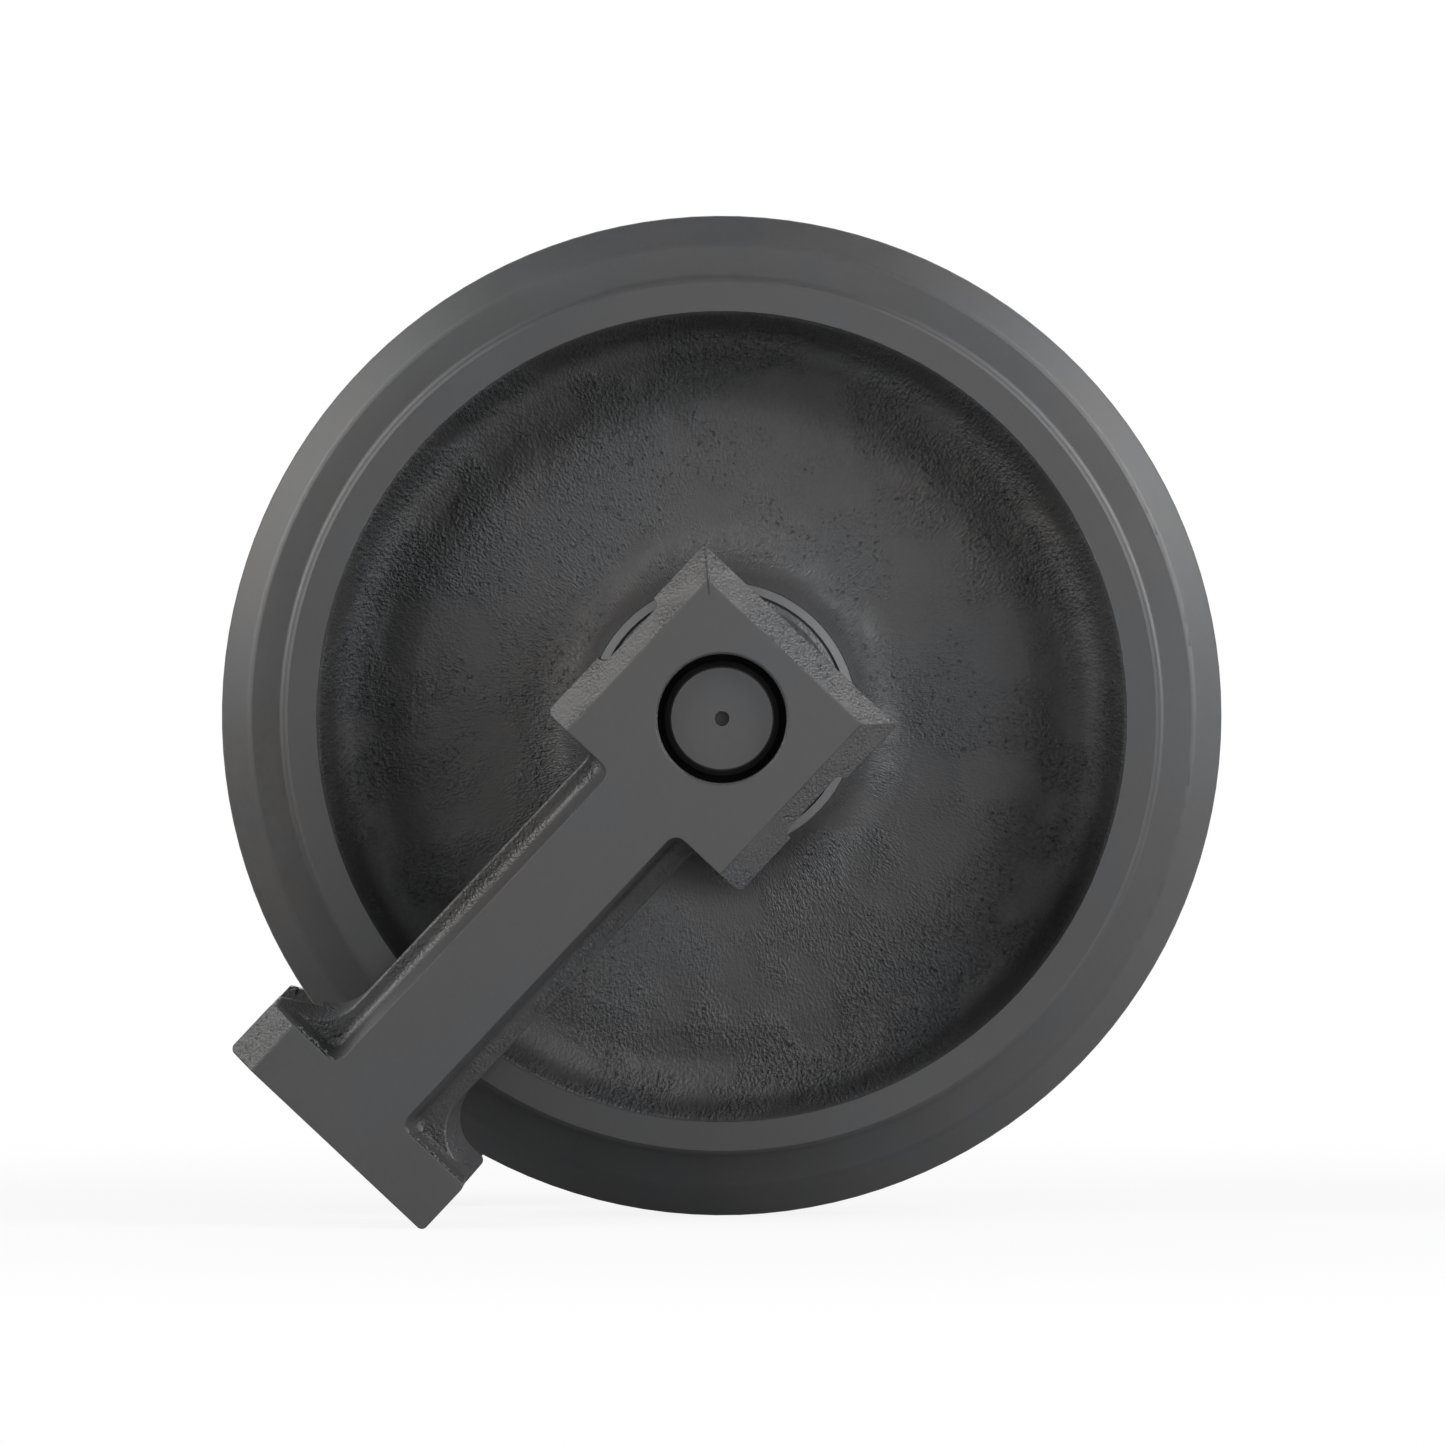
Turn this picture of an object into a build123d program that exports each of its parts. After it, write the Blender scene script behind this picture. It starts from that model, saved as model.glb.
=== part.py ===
from build123d import *
from math import asin, atan2, cos, hypot, radians, sin, tan
import os

# A track front idler: a cast wheel with a guide flange, on a fixed shaft that
# is held at each end by a cast bracket with an arm.
# Y is the axle, Z is up and the origin is the wheel's centre on the axle.
# The left side is +Y. The arms point down and back, to the side of -X, and
# their ends stand on the same floor as the wheel's flange.
os.makedirs("parts", exist_ok=True)

# Wheel rim, radii and depths from the axle and half widths along it
flange_radius = 200.0
flange_height = 26.2
flange_break_depth = 11.3
flange_tip_half = 12.0
flange_break_half = 21.5
flange_root_half = 25.5
rim_half = 45.0
rim_wall = 12.6
rim_chamfer = 1.2
rim_draft = 20.0
tread_fillet = 4.0
flange_break_fillet = 6.0
flange_tip_fillet = 1.5

# Wheel web and hub
web_half = 12.0
web_bend_inset = 37.2
web_slope = 10.0
web_bend_fillet = 150.0
web_rim_fillet = 20.0
hub_fillet = 20.0
hub_draft = 8.0
hub_rim_radius = 53.2
hub_rim_step = 0.7
hub_guard_depth = 3.0
guard_wall = 2.9
reservoir_radius = 36.0
reservoir_half = 15.0
reservoir_slope = 2.0

# Shaft and its bushes
shaft_radius = 25.0
shaft_end_radius = 22.5
shaft_end_chamfer = 2.6
shaft_end_recess = 7.0
shoulder_chamfer = 1.0
centre_hole_radius = 2.9
centre_hole_depth = 12.0
bush_wall = 5.0
bush_length = 24.0
bush_flange_reach = 4.0
bush_flange_thickness = 4.0
bush_chamfer = 0.8
bush_running_clearance = 0.06
bush_seat_clearance = 0.02
thrust_gap = 0.3

# Face seals
seal_inner_clearance = 0.6
seal_flange_radius = 42.0
seal_flange_thickness = 2.6
seal_length = 7.6
seal_tail_radius = 38.0
seal_lip_radius = 39.2
seal_band_radius = 39.5
seal_relief = 0.5
seal_face_gap = 0.3
seal_face_proud = 0.35
seal_floor_gap = 0.75
toric_radius = 2.2
toric_offset = 5.0
toric_clearance = 0.1
toric_ramp_gap = 0.12

# Bracket head, square to its arm
bracket_gap = 12.0
head_depth = 58.0
head_length = 90.0
head_width = 104.0
head_side_chamfer = 11.0
head_nose_chamfer = 9.5
head_corner_fillet = 3.0
notch_length = 32.0
notch_depth = 3.5
notch_fillet = 3.0
bore_clearance = 0.03
mouth_radius = 25.35
mouth_depth = 21.0
mouth_chamfer = 0.8
boss_radius = 33.5
boss_base_depth = 1.0
collar_lip_gap = 1.1
collar_lip_length = 3.0
collar_lip_space = 1.0
collar_step = 2.0

# Bracket arm
arm_overhang = 27.0
base_inset = 24.0
base_thickness = 18.0
base_edge_fillet = 1.2
neck_fillet = 4.0
rib_inset = 10.8
rib_draft = 5.0
rib_foot_fillet = 4.0
rib_corner_fillet = 5.0
arm_head_overlap = 12.0
flare_fillet = 17.0
end_rear_length = 35.0
end_step_length = 25.5
end_front_length = 24.5
end_ledge_depth = 22.0
end_cut_length = 8.5
end_cut_height = 15.0
end_overlap = 6.0
end_side_chamfer = 12.0
end_corner_fillet = 2.5

# Holes for the two bolts that tie each arm to the spring yoke
bolt_hole_radius = 7.0
bolt_hole_depth = 20.0
bolt_hole_mouth = 8.2
bolt_inset = 18.0

# Pins, rings and plug
pin_radius = 6.0
pin_clearance = 0.05
pin_inset = 20.0
pin_chamfer = 1.0
pin_recess = 1.5
ring_groove_inset = 9.0
ring_groove_width = 3.6
ring_groove_depth = 2.4
ring_clearance = 0.04
oil_way_radius = 4.0
oil_way_offset = 12.0
plug_thread_radius = 5.0
plug_thread_length = 8.0
plug_thread_clearance = 0.02
plug_head_radius = 6.8
plug_head_height = 3.5
plug_head_chamfer = 0.6
plug_socket_across = 5.0
plug_socket_depth = 3.2
washer_radius = 7.2
washer_thickness = 1.2

# Places that follow from the sizes above
tread_radius = flange_radius - flange_height
flange_break_radius = flange_radius - flange_break_depth
rim_inner_radius = tread_radius - rim_wall
web_bend_radius = rim_inner_radius - web_bend_inset
bracket_inner = rim_half + bracket_gap
bracket_face = bracket_inner + head_depth
arm_length = flange_radius + arm_overhang
end_rear_start = arm_length - end_rear_length
end_step_start = arm_length - end_step_length
end_front_start = arm_length - end_front_length
ledge_top = bracket_inner + end_ledge_depth
bush_outer_radius = shaft_radius + bush_wall
bush_flange_radius = bush_outer_radius + bush_flange_reach
shoulder = rim_half + thrust_gap
bush_face = shoulder - thrust_gap
seal_floor = bush_face - bush_flange_thickness
bush_inner_end = seal_floor - bush_length
seal_plane = seal_floor + seal_floor_gap + seal_length + seal_face_gap / 2
seal_inner_radius = bush_flange_radius + seal_inner_clearance
tail_slope = (seal_lip_radius - seal_tail_radius) / (seal_length - seal_flange_thickness)
toric_seat = seal_tail_radius + (toric_offset - seal_flange_thickness) * tail_slope
toric_middle = toric_seat + toric_radius + toric_ramp_gap
housing_radius = toric_middle + toric_radius + toric_clearance
guard_floor = seal_plane - seal_face_gap / 2 - seal_face_proud
hub_end = guard_floor + hub_guard_depth
guard_radius = hub_rim_radius - guard_wall
collar_lip_radius = guard_radius - collar_lip_gap
collar_end = guard_floor + collar_lip_space
collar_radius = collar_lip_radius - collar_step
shaft_end = bracket_face - shaft_end_recess
head_half = head_width / 2
base_half = head_half - base_inset
rib_half = base_half - rib_inset
bore_radius = shaft_end_radius + bore_clearance
base_top = bracket_inner + base_thickness
rib_height = bracket_face - base_top
ring_groove_offset = bracket_inner + ring_groove_inset
ring_groove_floor = shaft_end_radius - ring_groove_depth
ring_section = (bore_radius - ring_groove_floor) / 2 - ring_clearance
pin_offset = bracket_inner + pin_inset
pin_half = head_half - notch_depth - pin_recess
bolt_offset = (bracket_inner + bracket_face) / 2
bolt_spacing = head_width - 2 * bolt_inset

# The arm's droop, at which its lower end corner and the flange share a floor
corner_reach = arm_length - end_corner_fillet
corner_drop = head_half - end_corner_fillet
corner_distance = hypot(corner_reach, corner_drop)
droop = asin((flange_radius - end_corner_fillet) / corner_distance) - atan2(corner_drop, corner_reach)
arm_way = Vector(-cos(droop), 0, -sin(droop))
arm_up = Vector(-sin(droop), 0, cos(droop))


def across(offset):
    """Plane square to the axle: x along the arm, y up from it"""
    return Plane(origin=(0, offset, 0), x_dir=arm_way, z_dir=(0, 1, 0))


def point_at(along, up, offset):
    """Point at a length along the arm, a height up from it and an offset along the axle"""
    return arm_way * along + arm_up * up + Vector(0, offset, 0)


def edge_at(builder, along, up, offset):
    """Edge of a piece that passes through a point"""
    return builder.edges().sort_by_distance(point_at(along, up, offset))[0]


def block_start(offset):
    """Where the end block's inner face lies along the arm at an offset"""
    if offset < ledge_top:
        share = (offset - bracket_inner) / end_ledge_depth
        return end_rear_start + share * (end_step_start - end_rear_start)
    share = (offset - ledge_top) / (bracket_face - ledge_top)
    return end_step_start + share * (end_front_start - end_step_start)


along_arm = Plane(origin=(0, 0, 0), x_dir=arm_way, z_dir=-arm_up)
across_pin = Plane(origin=(0, pin_offset, 0), x_dir=arm_way, z_dir=arm_up)
end_face = Plane(origin=point_at(arm_length, 0, bolt_offset), x_dir=arm_up, z_dir=arm_way)
plug_seat = Plane(origin=point_at(-oil_way_offset, 0, shaft_end), z_dir=(0, 1, 0))


def write(part, name):
    """Label a piece and write its file"""
    part.label = name
    export_step(part, f"parts/{name}.step")


def write_pair(left_part, name):
    """Write a left-hand piece and its mirror image on the right"""
    write(left_part, f"{name}_left")
    with BuildPart() as right_piece:
        mirror(left_part, about=Plane.XZ)
    write(right_piece.part, f"{name}_right")


# The wheel is one casting, turned at its rim, flange, hub ends and bore
hub_foot_radius = hub_rim_radius + hub_rim_step + (hub_end - web_half) * tan(radians(hub_draft))
wall_lean = tan(radians(rim_draft))
web_rise = tan(radians(web_slope))
foot_gap = rim_inner_radius - web_bend_radius - (rim_half - web_half) * wall_lean
foot_run = foot_gap / (1 - web_rise * wall_lean)
wall_foot = (web_bend_radius + foot_run, web_half + foot_run * web_rise)
with BuildPart() as idler_wheel:
    with BuildSketch(Plane.XY):
        with BuildLine():
            FilletPolyline(
                (reservoir_radius, 0),
                (reservoir_radius, reservoir_half),
                (bush_outer_radius, reservoir_half + reservoir_slope),
                (bush_outer_radius, seal_floor),
                (housing_radius, seal_floor),
                (housing_radius, guard_floor),
                (guard_radius, guard_floor),
                (guard_radius, hub_end),
                (hub_rim_radius, hub_end),
                (hub_rim_radius + hub_rim_step, hub_end - hub_rim_step),
                (hub_foot_radius, web_half),
                (web_bend_radius, web_half),
                wall_foot,
                (rim_inner_radius, rim_half),
                (tread_radius - rim_chamfer, rim_half),
                (tread_radius, rim_half - rim_chamfer),
                (tread_radius, flange_root_half),
                (flange_break_radius, flange_break_half),
                (flange_radius, flange_tip_half),
                (flange_radius, 0),
                radius=[0, 0, 0, 0, 0, 0, 0, 0, 0, hub_fillet, web_bend_fillet, web_rim_fillet, 0, 0, 0,
                        tread_fillet, flange_break_fillet, flange_tip_fillet],
            )
            mirror(about=Plane.XZ)
        make_face()
    revolve(axis=Axis.Y)
write(idler_wheel.part, "idler_wheel")

# The shaft doesn't turn: it is shouldered between the brackets and grooved
# for a sealing ring inside each one
with BuildPart() as shaft:
    with BuildSketch(Plane.XY):
        with BuildLine():
            Polyline(
                (0, 0),
                (shaft_radius, 0),
                (shaft_radius, shoulder - shoulder_chamfer),
                (shaft_radius - shoulder_chamfer, shoulder),
                (shaft_end_radius, shoulder),
                (shaft_end_radius, ring_groove_offset - ring_groove_width / 2),
                (ring_groove_floor, ring_groove_offset - ring_groove_width / 2),
                (ring_groove_floor, ring_groove_offset + ring_groove_width / 2),
                (shaft_end_radius, ring_groove_offset + ring_groove_width / 2),
                (shaft_end_radius, shaft_end - shaft_end_chamfer),
                (shaft_end_radius - shaft_end_chamfer, shaft_end),
                (0, shaft_end),
                close=True,
            )
        make_face()
        mirror(about=Plane.XZ)
    revolve(axis=Axis.Y)
    # Lock pin holes, one through each end
    for side_sign in (1, -1):
        pin_plane = Plane(origin=(0, side_sign * pin_offset, 0), x_dir=arm_way, z_dir=arm_up)
        with BuildSketch(pin_plane):
            Circle(pin_radius + pin_clearance)
        extrude(amount=shaft_radius, both=True, mode=Mode.SUBTRACT)
    # Centre holes left by turning
    for side_sign in (1, -1):
        with Locations(Plane(origin=(0, side_sign * shaft_end, 0), z_dir=(0, side_sign, 0))):
            Hole(radius=centre_hole_radius, depth=centre_hole_depth)
    # Oil way from the left end to the middle, and a cross hole to the bore
    with Locations(plug_seat):
        Hole(radius=plug_thread_radius, depth=plug_thread_length + oil_way_radius)
        Hole(radius=oil_way_radius, depth=shaft_end + oil_way_radius)
    with BuildSketch(Plane(origin=point_at(-oil_way_offset, 0, 0), x_dir=(0, 1, 0), z_dir=-arm_way)):
        Circle(oil_way_radius)
    extrude(amount=shaft_radius, mode=Mode.SUBTRACT)
write(shaft.part, "shaft")

# Flanged bronze bush, pressed into the hub from outside
with BuildPart() as bush:
    with BuildSketch(Plane.XY):
        with BuildLine():
            Polyline(
                (shaft_radius + bush_running_clearance, bush_inner_end),
                (bush_outer_radius - bush_seat_clearance - bush_chamfer, bush_inner_end),
                (bush_outer_radius - bush_seat_clearance, bush_inner_end + bush_chamfer),
                (bush_outer_radius - bush_seat_clearance, seal_floor),
                (bush_flange_radius, seal_floor),
                (bush_flange_radius, bush_face - bush_chamfer),
                (bush_flange_radius - bush_chamfer, bush_face),
                (shaft_radius + bush_running_clearance, bush_face),
                close=True,
            )
        make_face()
    revolve(axis=Axis.Y)
write_pair(bush.part, "bush")


def seal_ring_points(face, way):
    """Section of a metal seal ring, its lapped face at face and its tail along way"""
    return [
        (seal_inner_radius, face + way * seal_relief),
        (seal_band_radius, face),
        (seal_flange_radius, face),
        (seal_flange_radius, face + way * seal_flange_thickness),
        (seal_tail_radius, face + way * seal_flange_thickness),
        (seal_lip_radius, face + way * seal_length),
        (seal_inner_radius, face + way * seal_length),
    ]


# Face seals: a metal ring with its rubber ring in the wheel, and a like pair
# in the bracket
for name, face, way in (
    ("turning", seal_plane - seal_face_gap / 2, -1),
    ("fixed", seal_plane + seal_face_gap / 2, 1),
):
    with BuildPart() as seal_ring:
        with BuildSketch(Plane.XY):
            with BuildLine():
                Polyline(*seal_ring_points(face, way), close=True)
            make_face()
        revolve(axis=Axis.Y)
    write_pair(seal_ring.part, f"seal_ring_{name}")
    with BuildPart() as rubber_ring:
        with BuildSketch(Plane.XY):
            with Locations((toric_middle, face + way * toric_offset)):
                Circle(toric_radius)
        revolve(axis=Axis.Y)
    write_pair(rubber_ring.part, f"rubber_ring_{name}")

# The bracket is one casting: head, T-section arm and end block
with BuildPart() as bracket:
    with BuildSketch(across(bracket_inner)):
        Rectangle(head_length, head_width)
    extrude(amount=head_depth)
    for up_sign in (1, -1):
        chamfer(edge_at(bracket, 0, up_sign * head_half, bracket_face), length=head_side_chamfer)
    chamfer(edge_at(bracket, -head_length / 2, 0, bracket_face), length=head_nose_chamfer)
    # Relief notches where the lock pin comes out at each side
    with BuildSketch(across(bracket_inner)):
        with Locations((0, head_half), (0, -head_half)):
            RectangleRounded(notch_length, 2 * notch_depth, notch_fillet)
    extrude(amount=head_depth, mode=Mode.SUBTRACT)
    # End block, with a sloping ledge at the foot of its inner face
    with BuildSketch(along_arm):
        with BuildLine():
            Polyline(
                (end_rear_start, bracket_inner),
                (arm_length, bracket_inner),
                (arm_length, bracket_face),
                (end_front_start, bracket_face),
                (end_step_start, ledge_top),
                close=True,
            )
        make_face()
    extrude(amount=head_half, both=True)
    block_mid = (end_front_start + arm_length) / 2
    chamfer(edge_at(bracket, block_mid, head_half, bracket_face), length=end_side_chamfer)
    # Base of the arm's T section
    base_start = head_length / 2 - arm_head_overlap
    base_end = end_front_start + end_overlap
    with BuildSketch(across(bracket_inner)):
        with Locations(((base_start + base_end) / 2, 0)):
            Rectangle(base_end - base_start, 2 * base_half)
    extrude(amount=base_thickness)
    # Rib of the T, flush with the head and the end block
    rib_spread = rib_height * tan(radians(rib_draft))
    with BuildSketch(across(base_top)):
        with Locations(((base_start + base_end) / 2, 0)):
            Rectangle(base_end - base_start, 2 * (rib_half + rib_spread))
    extrude(amount=rib_height, taper=rib_draft)
    # Corners between the base, the rib, the head and the block
    rib_mid = (base_top + bracket_face) / 2
    base_mid = bracket_inner + base_thickness / 2
    rib_mid_half = rib_half + (bracket_face - rib_mid) * tan(radians(rib_draft))
    for up_sign in (1, -1):
        flare_edge = edge_at(bracket, block_start(base_mid), up_sign * base_half, base_mid)
        fillet(flare_edge, radius=flare_fillet)
        neck_edge = edge_at(bracket, head_length / 2, up_sign * base_half, base_mid)
        fillet(neck_edge, radius=neck_fillet)
        for corner_start in (head_length / 2, block_start(rib_mid)):
            fillet(edge_at(bracket, corner_start, up_sign * rib_mid_half, rib_mid), radius=rib_corner_fillet)
    arm_mid = (head_length / 2 + end_rear_start) / 2
    for up_sign in (1, -1):
        foot_edge = edge_at(bracket, arm_mid, up_sign * (rib_half + rib_spread), base_top)
        fillet(foot_edge, radius=rib_foot_fillet)
        fillet(edge_at(bracket, arm_mid, up_sign * base_half, base_top), radius=base_edge_fillet)
        fillet(edge_at(bracket, head_length / 2, up_sign * head_half, base_mid), radius=head_corner_fillet)
        fillet(edge_at(bracket, arm_length, up_sign * head_half, base_mid), radius=end_corner_fillet)
        ledge_edge = edge_at(bracket, block_start(base_mid), up_sign * head_half, base_mid)
        inner_edge = edge_at(bracket, block_start(rib_mid), up_sign * head_half, rib_mid)
        fillet([ledge_edge, inner_edge], radius=end_corner_fillet)
    # The ledge's upper corner is cast short
    with BuildSketch(across(bracket_inner)):
        with BuildLine():
            Polyline(
                (end_rear_start - flare_fillet, head_half + end_cut_height),
                (end_rear_start - flare_fillet, head_half),
                (end_rear_start, head_half - end_cut_height),
                (end_rear_start + end_cut_length, head_half),
                (end_rear_start + end_cut_length, head_half + end_cut_height),
                close=True,
            )
        make_face()
    extrude(amount=end_ledge_depth, mode=Mode.SUBTRACT)
    # Boss that the shaft's shoulder seats on, and the collar round the seal
    with BuildSketch(Plane.XY):
        with BuildLine():
            Polyline(
                (bore_radius, shoulder),
                (boss_radius, shoulder),
                (boss_radius, bracket_inner + boss_base_depth),
                (bore_radius, bracket_inner + boss_base_depth),
                close=True,
            )
        make_face()
        with BuildLine():
            Polyline(
                (housing_radius, collar_end),
                (collar_lip_radius, collar_end),
                (collar_lip_radius, collar_end + collar_lip_length),
                (collar_radius, collar_end + collar_lip_length + collar_step / 2),
                (collar_radius, bracket_inner + boss_base_depth),
                (housing_radius, bracket_inner + boss_base_depth),
                close=True,
            )
        make_face()
    revolve(axis=Axis.Y)
    with BuildSketch(Plane.XY):
        with BuildLine():
            Polyline(
                (boss_radius, shoulder),
                (housing_radius, shoulder),
                (housing_radius, bracket_inner + boss_base_depth),
                (boss_radius, bracket_inner + boss_base_depth),
                close=True,
            )
        make_face()
        with BuildLine():
            Polyline(
                (0, shoulder),
                (bore_radius, shoulder),
                (bore_radius, bracket_face - mouth_depth),
                (mouth_radius, bracket_face - mouth_depth),
                (mouth_radius, bracket_face - mouth_chamfer),
                (mouth_radius + mouth_chamfer, bracket_face),
                (0, bracket_face),
                close=True,
            )
        make_face()
    revolve(axis=Axis.Y, mode=Mode.SUBTRACT)
    # Lock pin hole, and the tapped holes in the arm's end
    with BuildSketch(across_pin):
        Circle(pin_radius + pin_clearance)
    extrude(amount=head_half, both=True, mode=Mode.SUBTRACT)
    with Locations(end_face):
        with GridLocations(bolt_spacing, 0, 2, 1):
            CounterSinkHole(
                radius=bolt_hole_radius,
                counter_sink_radius=bolt_hole_mouth,
                depth=bolt_hole_depth,
                counter_sink_angle=90,
            )
write_pair(bracket.part, "bracket")

# Lock pin, driven through the head and the shaft
with BuildPart() as lock_pin:
    with BuildSketch(across_pin):
        Circle(pin_radius)
    extrude(amount=pin_half, both=True)
    chamfer(lock_pin.edges(), length=pin_chamfer)
write_pair(lock_pin.part, "lock_pin")

# Sealing ring in the shaft's groove
with BuildPart() as shaft_ring:
    with BuildSketch(Plane.XY):
        with Locations(((ring_groove_floor + bore_radius) / 2, ring_groove_offset)):
            Circle(ring_section)
    revolve(axis=Axis.Y)
write_pair(shaft_ring.part, "shaft_ring")

# Oil plug and its washer in the shaft's left end
with BuildPart() as plug_washer:
    with BuildSketch(plug_seat):
        Circle(washer_radius)
        Circle(plug_thread_radius, mode=Mode.SUBTRACT)
    extrude(amount=washer_thickness)
write(plug_washer.part, "plug_washer")
with BuildPart() as oil_plug:
    with BuildSketch(plug_seat.offset(washer_thickness)):
        Circle(plug_head_radius)
    extrude(amount=plug_head_height)
    chamfer(oil_plug.faces().sort_by(Axis.Y)[-1].edges(), length=plug_head_chamfer)
    with BuildSketch(plug_seat.offset(washer_thickness)):
        Circle(plug_thread_radius - plug_thread_clearance)
    extrude(amount=-washer_thickness - plug_thread_length)
    with BuildSketch(plug_seat.offset(washer_thickness + plug_head_height)):
        RegularPolygon(plug_socket_across / 2, 6, major_radius=False)
    extrude(amount=-plug_socket_depth, mode=Mode.SUBTRACT)
write(oil_plug.part, "oil_plug")
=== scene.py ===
from math import asin, atan2, cos, hypot, pi, radians, sin, tan

import bpy
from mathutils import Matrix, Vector


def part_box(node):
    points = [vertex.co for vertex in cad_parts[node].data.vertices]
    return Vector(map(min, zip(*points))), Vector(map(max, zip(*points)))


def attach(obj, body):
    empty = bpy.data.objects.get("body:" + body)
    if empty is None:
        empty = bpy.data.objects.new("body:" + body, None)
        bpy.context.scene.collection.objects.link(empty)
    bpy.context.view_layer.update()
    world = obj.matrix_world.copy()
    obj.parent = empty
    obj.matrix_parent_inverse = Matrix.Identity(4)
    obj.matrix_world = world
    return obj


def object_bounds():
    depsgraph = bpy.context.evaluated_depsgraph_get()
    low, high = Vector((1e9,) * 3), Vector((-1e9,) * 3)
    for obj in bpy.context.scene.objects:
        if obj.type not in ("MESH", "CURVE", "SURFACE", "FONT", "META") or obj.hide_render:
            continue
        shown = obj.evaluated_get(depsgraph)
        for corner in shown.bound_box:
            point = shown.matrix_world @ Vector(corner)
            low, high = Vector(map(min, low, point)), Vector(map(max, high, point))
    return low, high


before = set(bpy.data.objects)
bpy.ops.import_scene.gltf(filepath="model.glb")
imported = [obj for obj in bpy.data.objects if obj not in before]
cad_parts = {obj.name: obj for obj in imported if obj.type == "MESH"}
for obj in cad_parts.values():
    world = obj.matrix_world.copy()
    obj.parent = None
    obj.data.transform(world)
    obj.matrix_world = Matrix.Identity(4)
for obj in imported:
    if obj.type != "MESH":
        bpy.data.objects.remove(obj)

# The track front idler of the photo: a cast wheel between two cast brackets,
# all under one coat of satin dark grey paint, in a plain white studio.
# Y is the axle, Z is up, and the origin is the wheel's centre on the axle.
cad_low, cad_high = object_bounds()
wheel_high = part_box("idler_wheel")[1]
bracket_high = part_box("bracket_left")[1]
MM = 0.001

# Sizes of the castings, in metres
flange_radius = wheel_high.x
floor_level = cad_low.z
bracket_face = bracket_high.y
cast_end_radius = 160.4 * MM
tread_radius = 173.8 * MM
tread_fillet = 4 * MM
wrinkle_radius = 140 * MM
wrinkle_squeeze = 0.6
web_half = 12 * MM
web_bend_radius = 124 * MM
web_slope = radians(10)
web_rise_width = 14 * MM
dish_start, dish_end, dish_depth = 94 * MM, 148 * MM, 3 * MM
gutter_start, gutter_end, gutter_depth = 124 * MM, 150 * MM, 3.6 * MM
hub_rim_inner = 50.3 * MM
hub_rim_fall = 0.4
hub_rim_outer = 53.9 * MM
hub_rim_offset = 51 * MM
shaft_paint_start = 92 * MM
shaft_flat_radius = 19.9 * MM
mouth_start = 94.5 * MM
mouth_radius = 25.35 * MM
head_half = 52 * MM
head_length = 90 * MM
arm_length = flange_radius + 27 * MM
arm_corner = 2.5 * MM
block_front_start = arm_length - 24.5 * MM
block_rear_start = arm_length - 35 * MM
bolt_offset = 86 * MM
bolt_spacing = 68 * MM
thread_radius = 8 * MM
thread_pitch = 2 * MM

# The arm's way and the way square to it, from the place of its lower corner
reach = arm_length - arm_corner
drop = head_half - arm_corner
droop = asin((flange_radius - arm_corner) / hypot(reach, drop)) - atan2(drop, reach)
arm_way = Vector((-cos(droop), 0, -sin(droop)))
arm_up = Vector((-sin(droop), 0, cos(droop)))

# One pixel of the photo, which is 1445 pixels square, and how far its middle
# lies right of the wheel's centre and below it, in pixels
photo_pixel = 0.401 * MM
camera_place = Vector((-6 * MM, -5.0, 57 * MM))
camera_lens = 310.65
sensor_side = 36.0
middle_right = 0.85
middle_below = 7.06

# Zones of the wheel's cast web by radius: where the grain turns coarse, where
# it is coarsest, where the paint turns matt, and where painted shade darkens it
coarse_zone = (100 * MM, 122 * MM)
coarsest_zone = (134 * MM, 142 * MM)
matt_zone = (75 * MM, 95 * MM)
shade_start_zone = (116 * MM, 134 * MM)
shade_end_zone = (149 * MM, 143 * MM)
wall_shade_zone = (150 * MM, 156 * MM)

# The gutter's depth by the share of X in the radius, and the painted shade by height
gutter_aside_zone = (0.2, 0.85)
gutter_least_share = 0.3
shade_height_zone = (-130 * MM, 30 * MM)
upper_height_zone = (20 * MM, 110 * MM)
# Tones of the cast web: away from the painted shade, in it, and in its upper half
unshaded_tone, painted_shade_tone, upper_shade_tone = 1.08, 0.55, 0.8

# Line of the mitre between the head's two upper chamfers, and its crack
mitre_along, mitre_rise = 0.757, 0.654
crack_half_widths = (0.45 * MM, 0.2 * MM)
crack_length = 13 * MM

# Paint and the other finishes
paint_warm = (0.0416, 0.0397, 0.0396, 1)
paint_cool = (0.0390, 0.0400, 0.0424, 1)
light_ring_colour = (0.1, 0.1, 0.103, 1)
steel_colour = (0.42, 0.42, 0.43, 1)
bronze_colour = (0.5, 0.3, 0.13, 1)
rubber_colour = (0.012, 0.012, 0.012, 1)
zinc_colour = (0.55, 0.55, 0.52, 1)
washer_colour = (0.7, 0.7, 0.71, 1)
# Near black, painted shade in the gap between the bore's mouth and the shaft's end
gap_shade_colour = (0.004, 0.004, 0.004, 1)
floor_colour = (0.6, 0.6, 0.6, 1)
floor_near_share = 0.88
floor_left_glow = 0.2
room_strength = 0.03
grain_size = 1.2 * MM
grain_depth = 1.2 * MM


def place_node(tree, kind, inputs=None, **settings):
    """Add a node: an input that is a socket gets linked, and any other is a value"""
    made = tree.nodes.new(kind)
    for field, value in settings.items():
        setattr(made, field, value)
    for name, value in (inputs or {}).items():
        if isinstance(value, bpy.types.NodeSocket):
            tree.links.new(value, made.inputs[name])
        else:
            made.inputs[name].default_value = value
    return made


def reckon(tree, operation, *values):
    """Result of a sum on numbers and sockets"""
    return place_node(tree, "ShaderNodeMath", dict(enumerate(values)), operation=operation).outputs[0]


def ramp_between(tree, value, low, high):
    """0 at low and below, 1 at high and above, smooth between"""
    found = place_node(
        tree,
        "ShaderNodeMapRange",
        {"Value": value, "From Min": low, "From Max": high},
        interpolation_type="SMOOTHSTEP",
    )
    return found.outputs["Result"]


def mixed(tree, share, first, second):
    """Number between first and second"""
    made = place_node(tree, "ShaderNodeMix", {0: share, 2: first, 3: second}, data_type="FLOAT")
    return made.outputs[0]


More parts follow.
